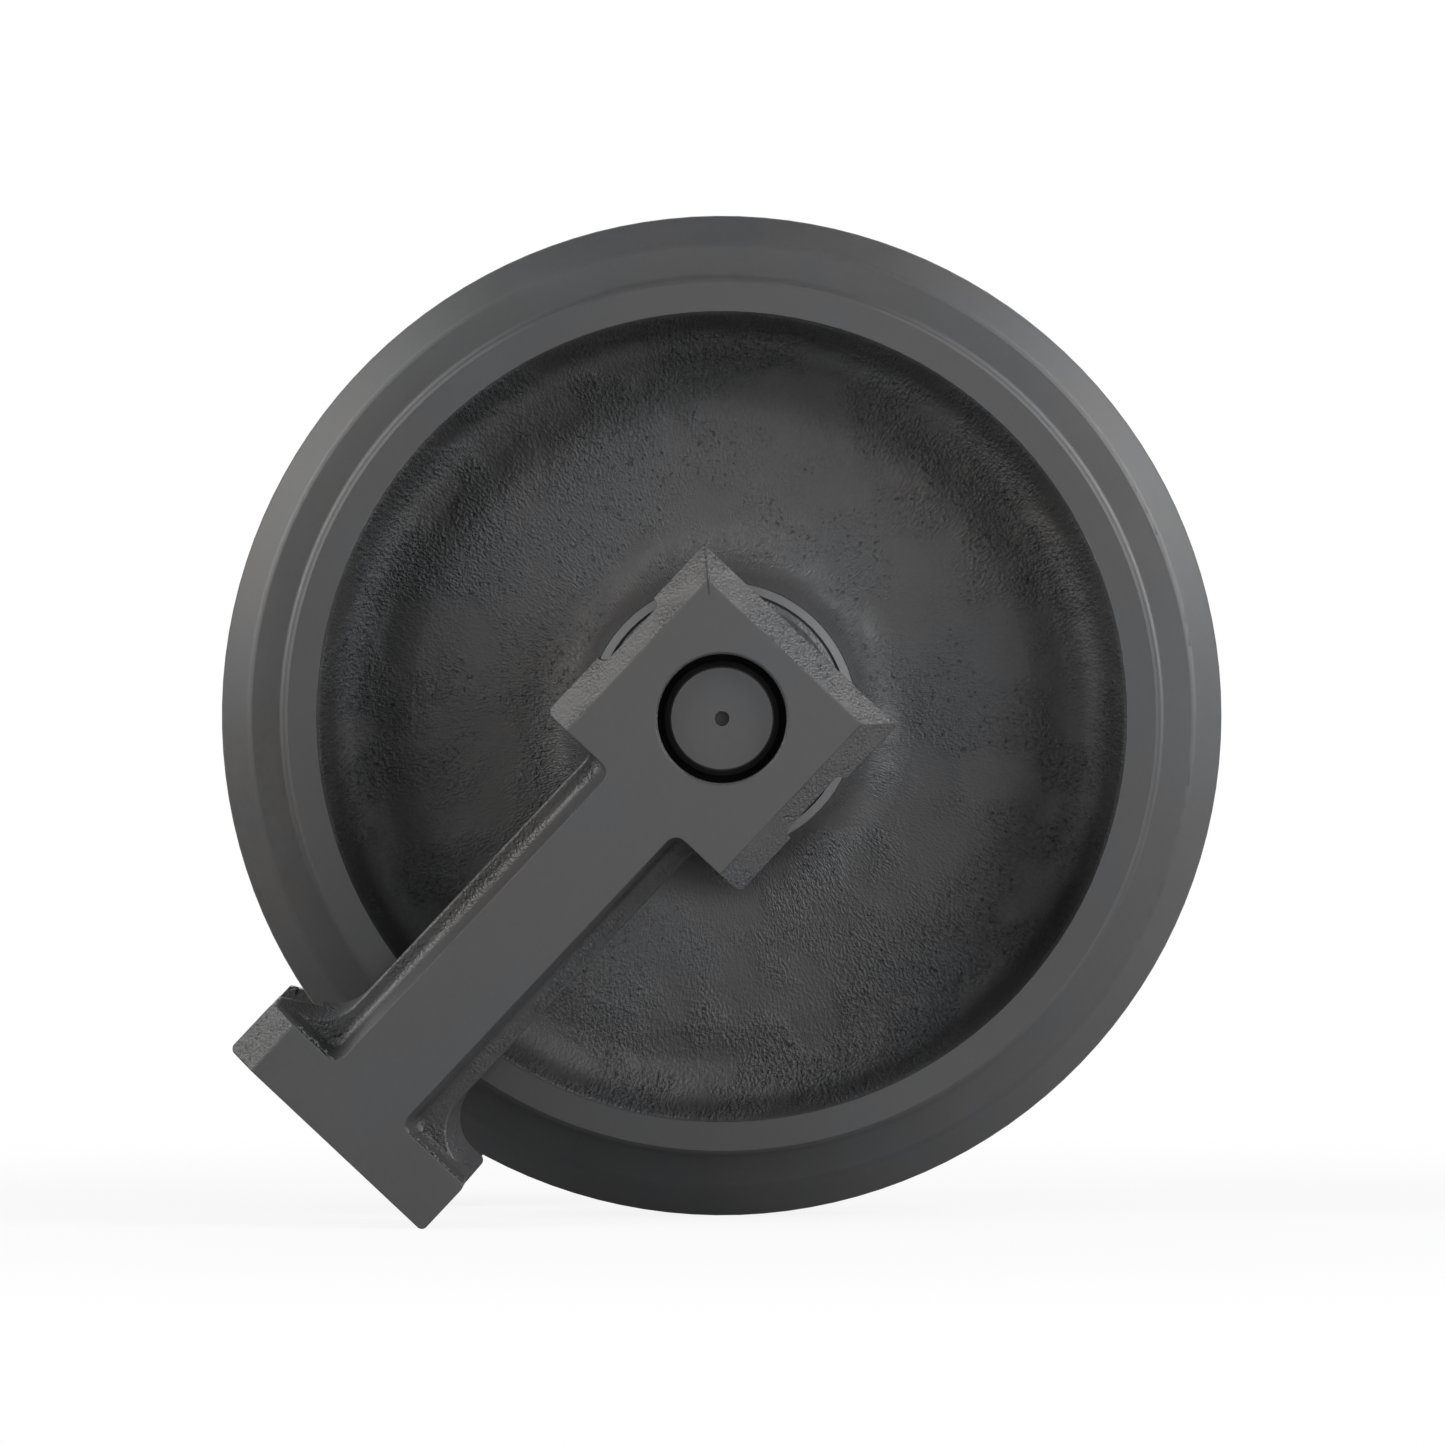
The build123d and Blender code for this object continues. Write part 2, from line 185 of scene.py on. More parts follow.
def mixed_colour(tree, share, first, second):
    """Colour between first and second"""
    made = place_node(tree, "ShaderNodeMix", {0: share, 6: first, 7: second}, data_type="RGBA")
    return made.outputs[2]


def noise(tree, vector, scale, detail):
    """Noise from 0 to 1"""
    made = place_node(tree, "ShaderNodeTexNoise", {"Vector": vector, "Scale": scale, "Detail": detail})
    return made.outputs["Fac"]


def apart(tree, vector):
    """X, Y and Z of a vector"""
    return place_node(tree, "ShaderNodeSeparateXYZ", {"Vector": vector}).outputs


def vector_result(tree, operation, first, second):
    """Result of an operation on two vectors"""
    return place_node(tree, "ShaderNodeVectorMath", {0: first, 1: second}, operation=operation)


def scaled(tree, vector, factor):
    """Vector times a number"""
    made = place_node(tree, "ShaderNodeVectorMath", {0: vector, "Scale": factor}, operation="SCALE")
    return made.outputs[0]


def start_group(name, sockets_in, sockets_out):
    """A shader group with named sockets: its tree, what comes in and what goes out"""
    tree = bpy.data.node_groups.new(name, "ShaderNodeTree")
    for socket_name, (kind, value) in sockets_in.items():
        socket = tree.interface.new_socket(name=socket_name, in_out="INPUT", socket_type=kind)
        if value is not None:
            socket.default_value = value
    for socket_name, kind in sockets_out.items():
        tree.interface.new_socket(name=socket_name, in_out="OUTPUT", socket_type=kind)
    return tree, tree.nodes.new("NodeGroupInput").outputs, tree.nodes.new("NodeGroupOutput").inputs


def use_group(tree, group, inputs):
    """Place a group in a material and give it its values"""
    made = tree.nodes.new("ShaderNodeGroup")
    made.node_tree = group
    for name, value in inputs.items():
        if isinstance(value, bpy.types.NodeSocket):
            tree.links.new(value, made.inputs[name])
        else:
            made.inputs[name].default_value = value
    return made.outputs


def make_cast_skin():
    """Sand-cast surface: grain, wrinkles, slow swells and patches of pits"""
    tree, given, result = start_group(
        "cast_skin",
        {
            "Vector": ("NodeSocketVector", None),
            "Wrinkle Vector": ("NodeSocketVector", None),
            "Coarseness": ("NodeSocketFloat", 1.0),
            "Grain Size": ("NodeSocketFloat", grain_size),
            "Grain Depth": ("NodeSocketFloat", grain_depth),
            "Wrinkle Depth": ("NodeSocketFloat", 1.1 * MM),
            "Swell Depth": ("NodeSocketFloat", 0.5 * MM),
            "Pit Depth": ("NodeSocketFloat", 0.7 * MM),
        },
        {"Height": "NodeSocketFloat", "Tone": "NodeSocketFloat"},
    )
    place = given["Vector"]
    fineness = reckon(tree, "DIVIDE", 1.0, given["Grain Size"])
    grain = place_node(
        tree, "ShaderNodeTexNoise", {"Vector": place, "Scale": fineness, "Detail": 2.0, "Roughness": 0.55}
    ).outputs["Fac"]
    wrinkle = noise(tree, given["Wrinkle Vector"], fineness, 1.0)
    swell = noise(tree, place, 55.0, 2.0)
    patches = noise(tree, place, 34.0, 2.0)
    pits = noise(tree, place, 480.0, 1.0)
    # The grain is strong in some patches and nearly smooth in others
    strength = mixed(tree, ramp_between(tree, patches, 0.38, 0.58), 0.35, 1.25)
    strength = reckon(tree, "MULTIPLY", strength, given["Coarseness"])
    pit = ramp_between(tree, pits, 0.63, 0.72)
    pit = reckon(tree, "MULTIPLY", pit, ramp_between(tree, patches, 0.45, 0.55))
    height = reckon(tree, "MULTIPLY", grain, given["Grain Depth"])
    height = reckon(tree, "ADD", height, reckon(tree, "MULTIPLY", wrinkle, given["Wrinkle Depth"]))
    sunk = reckon(tree, "MULTIPLY", pit, given["Pit Depth"])
    height = reckon(tree, "MULTIPLY", reckon(tree, "SUBTRACT", height, sunk), strength)
    rise = reckon(tree, "MULTIPLY", swell, given["Swell Depth"])
    tree.links.new(reckon(tree, "ADD", height, rise), result["Height"])
    # Hollows of the grain and pits hold less light than the paint on top of them
    shade = reckon(tree, "SUBTRACT", reckon(tree, "ADD", grain, wrinkle), 1.0)
    shade = reckon(tree, "MULTIPLY", shade, strength)
    tone = reckon(tree, "MULTIPLY_ADD", shade, 0.9, 1.0)
    tone = reckon(tree, "SUBTRACT", tone, reckon(tree, "MULTIPLY", pit, 0.5))
    tree.links.new(reckon(tree, "MAXIMUM", tone, 0.3), result["Tone"])
    return tree


def make_paint_film():
    """Paint whose tone and gloss wander a little from place to place"""
    tree, given, result = start_group(
        "paint_film",
        {
            "Vector": ("NodeSocketVector", None),
            "Warm Colour": ("NodeSocketColor", paint_warm),
            "Cool Colour": ("NodeSocketColor", paint_cool),
            "Spread": ("NodeSocketFloat", 0.25),
            "Roughness": ("NodeSocketFloat", 0.4),
        },
        {"Colour": "NodeSocketColor", "Roughness": "NodeSocketFloat", "Height": "NodeSocketFloat"},
    )
    place = given["Vector"]
    hues = noise(tree, place, 17.0, 2.0)
    clouds = noise(tree, place, 31.0, 3.0)
    specks = noise(tree, place, 420.0, 2.0)
    peel = noise(tree, place, 300.0, 1.0)
    cool_share = ramp_between(tree, hues, 0.38, 0.62)
    colour = mixed_colour(tree, cool_share, given["Warm Colour"], given["Cool Colour"])
    wander = reckon(tree, "SUBTRACT", reckon(tree, "ADD", clouds, specks), 1.0)
    gain = reckon(tree, "MULTIPLY_ADD", wander, given["Spread"], 1.0)
    tree.links.new(scaled(tree, colour, gain), result["Colour"])
    gloss = reckon(tree, "MULTIPLY_ADD", wander, 0.12, given["Roughness"])
    tree.links.new(gloss, result["Roughness"])
    tree.links.new(reckon(tree, "MULTIPLY", peel, 0.02 * MM), result["Height"])
    return tree


def make_turning_marks():
    """Rings left by a lathe tool about the Y axis"""
    tree, given, result = start_group(
        "turning_marks",
        {
            "Radius": ("NodeSocketFloat", 0.1),
            "Pitch": ("NodeSocketFloat", 0.5 * MM),
            "Depth": ("NodeSocketFloat", 0.01 * MM),
        },
        {"Height": "NodeSocketFloat"},
    )
    step = reckon(tree, "DIVIDE", given["Radius"], given["Pitch"])
    rings = place_node(
        tree, "ShaderNodeTexNoise", {"W": step, "Scale": 1.0, "Detail": 2.0}, noise_dimensions="1D"
    )
    tree.links.new(reckon(tree, "MULTIPLY", rings.outputs["Fac"], given["Depth"]), result["Height"])
    return tree


def make_soft_edges():
    """How near a point is to a sharp edge, and the normal of an edge rounded a little"""
    tree, given, result = start_group(
        "soft_edges",
        {"Radius": ("NodeSocketFloat", 0.5 * MM), "Normal": ("NodeSocketVector", None)},
        {"Edge": "NodeSocketFloat", "Normal": "NodeSocketVector"},
    )
    rounded = place_node(tree, "ShaderNodeBevel", {"Radius": given["Radius"]}, samples=6)
    flat = tree.nodes.new("ShaderNodeNewGeometry")
    meet = vector_result(tree, "DOT_PRODUCT", rounded.outputs[0], flat.outputs["Normal"])
    tree.links.new(ramp_between(tree, meet.outputs["Value"], 0.995, 0.9), result["Edge"])
    tree.links.new(rounded.outputs[0], result["Normal"])
    return tree


def object_place(tree):
    """Object coordinates, their distance from the axle and their offset along it"""
    place = tree.nodes.new("ShaderNodeTexCoord").outputs["Object"]
    parts = apart(tree, place)
    radius = reckon(tree, "SQRT", reckon(tree, "MULTIPLY_ADD", parts["X"], parts["X"],
                                         reckon(tree, "MULTIPLY", parts["Z"], parts["Z"])))
    offset = reckon(tree, "ABSOLUTE", parts["Y"])
    return place, radius, offset


def turned_fillet_normal(tree, place, radius):
    """Normal reckoned from the radius on the fillets beside the treads, and the mesh's own elsewhere"""
    outwards = reckon(tree, "SUBTRACT", tread_radius + tread_fillet, radius)
    outwards = reckon(tree, "DIVIDE", outwards, tread_fillet)
    sideways = reckon(tree, "SUBTRACT", 1.0, reckon(tree, "MULTIPLY", outwards, outwards))
    sideways = reckon(tree, "SQRT", reckon(tree, "MAXIMUM", 0.0, sideways))
    parts = apart(tree, place)
    sideways = reckon(tree, "MULTIPLY", sideways, reckon(tree, "SIGN", parts["Y"]))
    share = reckon(tree, "DIVIDE", outwards, radius)
    reckoned = place_node(
        tree,
        "ShaderNodeCombineXYZ",
        {
            "X": reckon(tree, "MULTIPLY", parts["X"], share),
            "Y": sideways,
            "Z": reckon(tree, "MULTIPLY", parts["Z"], share),
        },
    )
    reckoned = place_node(
        tree,
        "ShaderNodeVectorTransform",
        {"Vector": reckoned.outputs[0]},
        vector_type="NORMAL",
        convert_from="OBJECT",
        convert_to="WORLD",
    )
    past_tread = reckon(tree, "GREATER_THAN", radius, tread_radius + 0.03 * MM)
    before_flange = reckon(tree, "LESS_THAN", radius, tread_radius + 3 * MM)
    on_fillet = reckon(tree, "MULTIPLY", past_tread, before_flange)
    shape = tree.nodes.new("ShaderNodeNewGeometry").outputs
    chosen = place_node(tree, "ShaderNodeMix", {0: on_fillet, 4: shape["Normal"], 5: reckoned.outputs[0]},
                        data_type="VECTOR")
    return chosen.outputs[1]


def start_material(name):
    """A material with its tree and its Principled shader"""
    made = bpy.data.materials.new(name)
    made.use_nodes = True
    return made, made.node_tree, made.node_tree.nodes["Principled BSDF"]


def finish_surface(tree, shader, colour, roughness, height, normal=None):
    """Feed the shader its colour, roughness and the bump of its height in metres"""
    bump_inputs = {"Height": height, "Distance": 1.0, "Strength": 1.0}
    if normal is not None:
        bump_inputs["Normal"] = normal
    bump = place_node(tree, "ShaderNodeBump", bump_inputs)
    tree.links.new(colour, shader.inputs["Base Color"])
    tree.links.new(roughness, shader.inputs["Roughness"])
    tree.links.new(bump.outputs["Normal"], shader.inputs["Normal"])


cast_skin = make_cast_skin()
paint_film = make_paint_film()
turning_marks = make_turning_marks()
soft_edges = make_soft_edges()


def make_wheel_paint():
    """Satin paint over the wheel: turned at the rim and hub, rough cast between"""
    made, tree, shader = start_material("painted_wheel_casting")
    place, radius, offset = object_place(tree)
    film = use_group(tree, paint_film, {"Vector": place, "Roughness": 0.45})
    # Wrinkles run outwards from the hub: their pattern is squeezed along the radius
    around = vector_result(tree, "MULTIPLY", place, (1, 0, 1)).outputs[0]
    around = place_node(tree, "ShaderNodeVectorMath", {0: around}, operation="NORMALIZE").outputs[0]
    squeezed = reckon(tree, "MULTIPLY", radius, wrinkle_squeeze)
    squeezed = place_node(tree, "ShaderNodeCombineXYZ", {"Y": squeezed}).outputs[0]
    wrinkles = vector_result(tree, "ADD", scaled(tree, around, wrinkle_radius), squeezed).outputs[0]
    coarse = mixed(tree, ramp_between(tree, radius, *coarse_zone), 0.5, 0.9)
    coarse = reckon(tree, "MULTIPLY_ADD", ramp_between(tree, radius, *coarsest_zone), 0.25, coarse)
    skin = use_group(tree, cast_skin, {"Vector": place, "Wrinkle Vector": wrinkles, "Coarseness": coarse})
    marks = use_group(tree, turning_marks, {"Radius": radius})
    inside_rim = ramp_between(tree, radius, cast_end_radius + 1 * MM, cast_end_radius - 1 * MM)
    outside_hub = ramp_between(tree, radius, hub_rim_outer, hub_rim_outer + 1 * MM)
    cast = reckon(tree, "MULTIPLY", inside_rim, outside_hub)
    turned = reckon(tree, "ADD", marks["Height"], film["Height"])
    # The web falls away towards the rim before its fillet rises, and its gutter is
    # deepest at the front and back, to shade it as in the photo
    past_bend = reckon(tree, "MAXIMUM", reckon(tree, "SUBTRACT", radius, web_bend_radius), 0.0)
    level = reckon(tree, "MINIMUM", past_bend, web_rise_width)
    dish = reckon(tree, "MULTIPLY", ramp_between(tree, radius, dish_start, dish_end), dish_depth)
    parts = apart(tree, place)
    aside = reckon(tree, "DIVIDE", reckon(tree, "ABSOLUTE", parts["X"]), radius)
    sunk = mixed(tree, ramp_between(tree, aside, *gutter_aside_zone), gutter_least_share, 1.0)
    gutter = reckon(tree, "MULTIPLY", ramp_between(tree, radius, gutter_start, gutter_end), gutter_depth)
    gutter = reckon(tree, "MULTIPLY", gutter, sunk)
    dish = reckon(tree, "ADD", dish, reckon(tree, "MULTIPLY_ADD", level, tan(web_slope), gutter))
    height = reckon(tree, "SUBTRACT", mixed(tree, cast, turned, skin["Height"]), dish)
    # The hub's guard ring is coloured lighter than the paint, and its face falls away outwards
    ring = reckon(tree, "MULTIPLY", ramp_between(tree, radius, hub_rim_outer, hub_rim_outer - 0.4 * MM),
                  ramp_between(tree, offset, hub_rim_offset - 0.5 * MM, hub_rim_offset))
    # The gutter and the rim's inner wall are darkened with painted shade, most of all
    # in the upper half, to shade them as in the photo
    rise = parts["Z"]
    past_start = ramp_between(tree, radius, *shade_start_zone)
    painted_shade_mask = reckon(tree, "MULTIPLY", past_start, ramp_between(tree, radius, *shade_end_zone))
    painted_shade_mask = reckon(tree, "MULTIPLY", painted_shade_mask, ramp_between(tree, rise, *shade_height_zone))
    painted_shade_mask = reckon(tree, "MAXIMUM", painted_shade_mask, ramp_between(tree, radius, *wall_shade_zone))
    upper = reckon(tree, "MULTIPLY", past_start, ramp_between(tree, rise, *upper_height_zone))
    tone = mixed(tree, painted_shade_mask, unshaded_tone, painted_shade_tone)
    tone = reckon(tree, "MULTIPLY", tone, mixed(tree, upper, 1.0, upper_shade_tone))
    tone = reckon(tree, "MULTIPLY", skin["Tone"], tone)
    tone = mixed(tree, cast, 1.0, tone)
    toned = scaled(tree, film["Colour"], tone)
    colour = mixed_colour(tree, ring, toned, light_ring_colour)
    fall = reckon(tree, "MULTIPLY", reckon(tree, "SUBTRACT", radius, hub_rim_inner), hub_rim_fall)
    height = reckon(tree, "SUBTRACT", height, reckon(tree, "MULTIPLY", ring, fall))
    cast_roughness = mixed(tree, ramp_between(tree, radius, *matt_zone), 0.52, 0.66)
    roughness = mixed(tree, cast, film["Roughness"], cast_roughness)
    normal = turned_fillet_normal(tree, place, radius)
    finish_surface(tree, shader, colour, roughness, height, normal)
    return made


def make_bracket_paint():
    """Satin paint over the brackets: milled pads, sides and end, rough cast elsewhere"""
    made, tree, shader = start_material("painted_bracket_casting")
    place, radius, offset = object_place(tree)
    along = vector_result(tree, "DOT_PRODUCT", place, arm_way).outputs["Value"]
    rise = vector_result(tree, "DOT_PRODUCT", place, arm_up).outputs["Value"]
    # A fine crack runs down the mitre between the head's two upper chamfers
    nose_side = reckon(tree, "MULTIPLY", reckon(tree, "ADD", along, head_length / 2), mitre_along)
    upper_side = reckon(tree, "MULTIPLY", reckon(tree, "SUBTRACT", head_half, rise), mitre_rise)
    mitre = reckon(tree, "ABSOLUTE", reckon(tree, "SUBTRACT", nose_side, upper_side))
    on_nose = reckon(tree, "LESS_THAN", along, crack_length - head_length / 2)
    crack = reckon(tree, "MULTIPLY", ramp_between(tree, mitre, *crack_half_widths), on_nose)
    rise = reckon(tree, "ABSOLUTE", rise)
    pad = ramp_between(tree, offset, bracket_face - 0.4 * MM, bracket_face - 0.15 * MM)
    side = reckon(tree, "MULTIPLY", ramp_between(tree, rise, head_half - 0.3 * MM, head_half - 0.1 * MM),
                  ramp_between(tree, offset, bracket_face - 10.8 * MM, bracket_face - 11.1 * MM))
    end = ramp_between(tree, along, arm_length - 0.4 * MM, arm_length - 0.15 * MM)
    milled = reckon(tree, "MAXIMUM", reckon(tree, "MAXIMUM", pad, side), end)
    edges = use_group(tree, soft_edges, {"Radius": 0.6 * MM})
    film = use_group(tree, paint_film, {"Vector": place, "Roughness": 0.4})
    skin = use_group(tree, cast_skin, {"Vector": place, "Wrinkle Vector": place, "Coarseness": 0.3,
                                       "Swell Depth": 0.25 * MM})
    # Threads of the tapped holes in the arm's end
    bolt_rise = reckon(tree, "SUBTRACT", rise, bolt_spacing / 2)
    bolt_side = reckon(tree, "SUBTRACT", offset, bolt_offset)
    bolt_side_squared = reckon(tree, "MULTIPLY", bolt_side, bolt_side)
    bolt_radius = reckon(tree, "SQRT", reckon(tree, "MULTIPLY_ADD", bolt_rise, bolt_rise, bolt_side_squared))
    turn = reckon(tree, "DIVIDE", reckon(tree, "ARCTAN2", bolt_rise, bolt_side), 2 * pi)
    thread = reckon(tree, "ADD", reckon(tree, "DIVIDE", along, thread_pitch), turn)
    thread = reckon(tree, "PINGPONG", thread, 0.5)
    in_hole = ramp_between(tree, bolt_radius, thread_radius, thread_radius - 0.3 * MM)
    below_end = ramp_between(tree, along, arm_length - 1 * MM, arm_length - 1.3 * MM)
    threaded = reckon(tree, "MULTIPLY", in_hole, below_end)
    height = mixed(tree, milled, skin["Height"], film["Height"])
    height = mixed(tree, threaded, height, reckon(tree, "MULTIPLY", thread, 1.2 * MM))
    roughness = mixed(tree, milled, 0.45, film["Roughness"])
    tone = mixed(tree, milled, skin["Tone"], 1.0)
    tone = reckon(tree, "MULTIPLY", tone, reckon(tree, "MULTIPLY_ADD", crack, -0.85, 1.0))
    toned = scaled(tree, film["Colour"], tone)
    # The gap between the bore's mouth and the shaft's end is painted near black, as painted shade
    mouth = ramp_between(tree, radius, mouth_radius + 0.3 * MM, mouth_radius + 0.1 * MM)
    below_face = ramp_between(tree, offset, bracket_face - 0.6 * MM, bracket_face - 1.2 * MM)
    mouth = reckon(tree, "MULTIPLY", mouth, below_face)
    mouth = reckon(tree, "MULTIPLY", mouth, reckon(tree, "GREATER_THAN", offset, mouth_start - 1 * MM))
    colour = mixed_colour(tree, mouth, toned, gap_shade_colour)
    finish_surface(tree, shader, colour, mixed(tree, mouth, roughness, 0.9), height, edges["Normal"])
    return made


def make_shaft_finish():
    """Ground steel, painted over where its ends show in the brackets"""
    made, tree, shader = start_material("shaft_ground_steel")
    place, radius, offset = object_place(tree)
    film = use_group(tree, paint_film, {"Vector": place, "Roughness": 0.4})
    marks = use_group(tree, turning_marks, {"Radius": radius, "Depth": 0.02 * MM})
    painted = ramp_between(tree, offset, shaft_paint_start, shaft_paint_start + 1 * MM)
    colour = mixed_colour(tree, painted, steel_colour, film["Colour"])
    # The shaft's end inside the bore's mouth is painted near black, as painted shade in the gap
    mouth_shade = reckon(tree, "MULTIPLY", ramp_between(tree, radius, shaft_flat_radius + 0.3 * MM,
                                                   shaft_flat_radius + 0.8 * MM),
                    reckon(tree, "GREATER_THAN", offset, mouth_start))
    colour = mixed_colour(tree, mouth_shade, colour, gap_shade_colour)
    roughness = mixed(tree, mouth_shade, mixed(tree, painted, 0.25, film["Roughness"]), 0.9)
    tree.links.new(reckon(tree, "SUBTRACT", 1.0, painted), shader.inputs["Metallic"])
    finish_surface(tree, shader, colour, roughness, marks["Height"])
    return made


def make_plain_finish(name, colour, roughness, metallic, mark_depth):
    """A turned or moulded part in one colour with a fine surface of its own"""
    made, tree, shader = start_material(name)
    place, radius, offset = object_place(tree)
    film = use_group(tree, paint_film, {"Vector": place, "Warm Colour": colour, "Cool Colour": colour,
                                        "Roughness": roughness})
    marks = use_group(tree, turning_marks, {"Radius": radius, "Depth": mark_depth})
    shader.inputs["Metallic"].default_value = metallic
    finish_surface(tree, shader, film["Colour"], film["Roughness"], marks["Height"])
    return made


def dress(nodes, material):
    """Give CAD nodes their material"""
    for name in nodes:
        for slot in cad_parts[name].material_slots:
            slot.material = material


def both(*names):
    """Left and right node of each name"""
    return [f"{name}_{side}" for name in names for side in ("left", "right")]


wheel_paint = make_wheel_paint()
bracket_paint = make_bracket_paint()
dress(["idler_wheel"], wheel_paint)
dress(both("bracket"), bracket_paint)
dress(["shaft"], make_shaft_finish())
dress(both("bush"), make_plain_finish("bush_bronze", bronze_colour, 0.35, 1.0, 0.02 * MM))
dress(both("seal_ring_turning", "seal_ring_fixed", "lock_pin"),
      make_plain_finish("seal_steel", steel_colour, 0.25, 1.0, 0.01 * MM))
dress(both("rubber_ring_turning", "rubber_ring_fixed", "shaft_ring"),
      make_plain_finish("seal_rubber", rubber_colour, 0.55, 0.0, 0.01 * MM))
dress(["oil_plug"], make_plain_finish("plug_zinc", zinc_colour, 0.3, 1.0, 0.02 * MM))
dress(["plug_washer"], make_plain_finish("washer_aluminium", washer_colour, 0.4, 1.0, 0.02 * MM))


def in_arm(along, rise, offset):
    """Point at a length along the arm, a height up from it and an offset along the axle"""
    return arm_way * along + arm_up * rise + Vector((0, offset, 0))


def on_web(turn, radius):
    """Point on the near face of the wheel's web, by its angle from +X towards +Z"""
    rise = max(0.0, radius - web_bend_radius) * tan(web_slope)
    return Vector((radius * cos(turn), -web_half - rise, radius * sin(turn)))


def make_crumb_tree(material):
    """Geometry nodes that put one rough crumb of sand-cast metal on each point"""
    tree = bpy.data.node_groups.new("cast_crumbs", "GeometryNodeTree")
    tree.interface.new_socket(name="Points", in_out="INPUT", socket_type="NodeSocketGeometry")
    for name, kind, value in (
        ("Crumb Size", "NodeSocketFloat", 1 * MM),
        ("Smallest Share", "NodeSocketFloat", 0.4),
        ("Roughness Depth", "NodeSocketFloat", 0.5 * MM),
        ("Spread", "NodeSocketFloat", 0.0),
        ("Seed", "NodeSocketInt", 0),
    ):
        tree.interface.new_socket(name=name, in_out="INPUT", socket_type=kind).default_value = value
    tree.interface.new_socket(name="Crumbs", in_out="OUTPUT", socket_type="NodeSocketGeometry")
    given = tree.nodes.new("NodeGroupInput").outputs
    result = tree.nodes.new("NodeGroupOutput").inputs
    ball = place_node(tree, "GeometryNodeMeshIcoSphere", {"Radius": 1.0, "Subdivisions": 3})
    share = place_node(
        tree,
        "FunctionNodeRandomValue",
        {2: given["Smallest Share"], 3: 1.0, "Seed": given["Seed"]},
        data_type="FLOAT",
    )
    scale = reckon(tree, "MULTIPLY", share.outputs[1], given["Crumb Size"])
    turn = place_node(
        tree,
        "FunctionNodeRandomValue",
        {0: (0, 0, 0), 1: (2 * pi, 2 * pi, 2 * pi), "Seed": reckon(tree, "ADD", given["Seed"], 7)},
        data_type="FLOAT_VECTOR",
    )
    shift = place_node(
        tree,
        "FunctionNodeRandomValue",
        {0: (-1, -1, -1), 1: (1, 1, 1), "Seed": reckon(tree, "ADD", given["Seed"], 11)},
        data_type="FLOAT_VECTOR",
    )
    shift = scaled(tree, shift.outputs[0], given["Spread"])
    strewn = place_node(tree, "GeometryNodeSetPosition", {"Geometry": given["Points"], "Offset": shift})
    placed = place_node(
        tree,
        "GeometryNodeInstanceOnPoints",
        {
            "Points": strewn.outputs[0],
            "Instance": ball.outputs["Mesh"],
            "Rotation": turn.outputs[0],
            "Scale": scale,
        },
    )
    solid = place_node(tree, "GeometryNodeRealizeInstances", {"Geometry": placed.outputs["Instances"]})
    bumps = place_node(tree, "ShaderNodeTexNoise", {"Scale": 0.9 / MM, "Detail": 1.0})
    push = vector_result(tree, "SUBTRACT", bumps.outputs["Color"], (0.5, 0.5, 0.5)).outputs[0]
    push = scaled(tree, push, reckon(tree, "MULTIPLY", given["Roughness Depth"], 2.0))
    rough = place_node(tree, "GeometryNodeSetPosition", {"Geometry": solid.outputs[0], "Offset": push})
    smooth = place_node(tree, "GeometryNodeSetShadeSmooth", {"Geometry": rough.outputs[0]})
    painted = place_node(
        tree, "GeometryNodeSetMaterial", {"Geometry": smooth.outputs[0], "Material": material}
    )
    tree.links.new(painted.outputs[0], result[0])
    return tree


def make_crumbs(name, points, tree, body, **values):
    """A mesh of crumbs on the points, that rides on a body"""
    seeds = bpy.data.meshes.new(f"{name}_points")
    seeds.from_pydata(points, [], [])
    holder = bpy.data.objects.new(f"{name}_points", seeds)
    bpy.context.scene.collection.objects.link(holder)
    scatter = holder.modifiers.new("scatter", "NODES")
    scatter.node_group = tree
    sockets = {s.name: s.identifier for s in tree.interface.items_tree if s.in_out == "INPUT"}
    for socket_name, value in values.items():
        scatter[sockets[socket_name.replace("_", " ")]] = value
    mesh = bpy.data.meshes.new_from_object(holder.evaluated_get(bpy.context.evaluated_depsgraph_get()))
    bpy.data.objects.remove(holder)
    mesh.name = name
    made = bpy.data.objects.new(name, mesh)
    bpy.context.scene.collection.objects.link(made)
    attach(made, body)
    return made


def spaced(start, end, count):
    """Points from start to end, both counted"""
    return [start.lerp(end, step / (count - 1)) for step in range(count)]


# Crumbs of cast metal along the end block's inner edge, and a rough clump on
# the upper end of its ledge
edge_crumbs = []
ledge_crumbs = []
for side_sign in (1, -1):
    face = side_sign * (bracket_face - 1.4 * MM)
    edge_crumbs += spaced(in_arm(block_front_start - 0.3 * MM, 17 * MM, face),
                          in_arm(block_front_start - 0.6 * MM, 38 * MM, face), 22)
    edge_crumbs += spaced(in_arm(block_front_start - 0.2 * MM, -20 * MM, face),
                          in_arm(block_front_start - 0.1 * MM, -47 * MM, face), 26)
    for step in range(5):
        depth = side_sign * (59 + 3.5 * step) * MM
        along = block_rear_start + (3.2 + 1.55 * step) * MM
        ledge_crumbs += spaced(in_arm(along, (39 + 0.6 * step) * MM, depth),
                               in_arm(along + 4.5 * MM, 49.5 * MM, depth), 6)
crumb_tree = make_crumb_tree(bracket_paint)
make_crumbs(
    "block_edge_crumbs",
    edge_crumbs,
    crumb_tree,
    "carrier",
    Crumb_Size=0.95 * MM,
    Spread=0.45 * MM,
    Seed=3,
)
make_crumbs(
    "block_ledge_crumbs",
    ledge_crumbs,
    crumb_tree,
    "carrier",
    Crumb_Size=1.9 * MM,
    Spread=1.0 * MM,
    Roughness_Depth=0.9 * MM,
    Seed=8,
)

